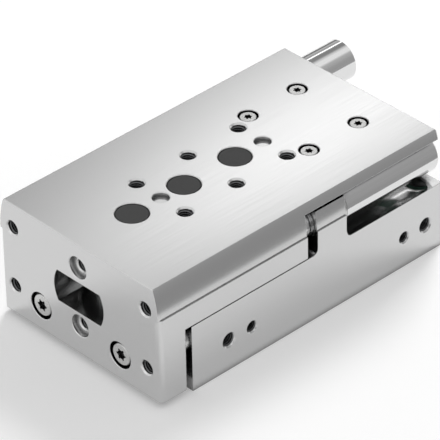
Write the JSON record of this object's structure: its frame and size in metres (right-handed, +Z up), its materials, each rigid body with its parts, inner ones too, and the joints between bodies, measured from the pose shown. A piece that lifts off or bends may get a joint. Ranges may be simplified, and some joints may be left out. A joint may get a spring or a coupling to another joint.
{
  "type": "pneumatic slide table",
  "caption": "Flat compact slide driven by air: a slide and yoke plate made in one piece runs on a ball guide over a housing with twin pistons and two shock absorbers.",
  "frame": {"origin": "centre of the housing's mounting face, midway between the four threads in its underside", "axes": "+Z up from the mounting face to the slide's top; the yoke plate faces -Y and the slide advances along -Y; +X is the side with the air ports"},
  "size_m": [0.066, 0.1302, 0.04],
  "materials": {
    "aluminium_satin": "satin, finely ground",
    "rail_steel": "ground bright",
    "screw_steel": "bright",
    "dark_steel": "blackened",
    "hard_chrome": "polished",
    "bearing_bronze": "turned",
    "black_rubber": "matte",
    "plug_plastic": "matte",
    "cap_plastic": "moulded",
    "band_plastic": "matte",
    "magnet": "plain"
  },
  "bodies": {
    "base_unit": {"housing": "aluminium_satin", "guide_rail": "rail_steel", "rail_screws": "dark_steel", "stop_buttons": "screw_steel", "rod_bearings": "bearing_bronze", "rod_seals": "black_rubber", "bearing_o_rings": "black_rubber", "bearing_rings": "screw_steel", "rear_caps": "aluminium_satin", "cap_o_rings": "black_rubber", "cap_rings": "screw_steel", "retract_absorber_tube": "hard_chrome", "retract_absorber_gland": "bearing_bronze", "retract_absorber_spring": "screw_steel", "retract_lock_ring": "screw_steel"},
    "moving_unit": {"slide_table": "aluminium_satin", "access_plugs": "plug_plastic", "table_screws": "screw_steel", "rod_screws": "screw_steel", "carriage_block": "rail_steel", "carriage_end_caps": "cap_plastic", "carriage_end_seals": "black_rubber", "end_cap_screws": "screw_steel", "guide_balls_left": "screw_steel", "guide_balls_right": "screw_steel", "piston_rods": "hard_chrome", "pistons": "aluminium_satin", "piston_seals": "black_rubber", "piston_magnets": "magnet", "piston_guide_bands": "band_plastic", "piston_nuts": "screw_steel", "advance_absorber_tube": "hard_chrome", "advance_absorber_gland": "bearing_bronze", "advance_absorber_spring": "screw_steel", "advance_lock_ring": "screw_steel"},
    "retract_plunger_unit": {"retract_plunger": "hard_chrome"},
    "advance_plunger_unit": {"advance_plunger": "hard_chrome"}
  },
  "joints": [
    {"name": "slide_travel", "type": "slide", "parent": "base_unit", "child": "moving_unit", "axis": [0, -1, 0], "range_m": [0, 0.05]},
    {"name": "retract_plunger_travel", "type": "slide", "parent": "base_unit", "child": "retract_plunger_unit", "axis": [0, -1, 0], "range_m": [0, 0.01], "deforming": ["retract_absorber_spring"]},
    {"name": "advance_plunger_travel", "type": "slide", "parent": "moving_unit", "child": "advance_plunger_unit", "axis": [0, 1, 0], "range_m": [0, 0.01], "deforming": ["advance_absorber_spring"]}
  ],
  "couplings": [
    {"joint": "retract_plunger_travel", "follows": "slide_travel", "ratio": 0.2},
    {"joint": "advance_plunger_travel", "follows": "slide_travel", "ratio": 0.2}
  ]
}
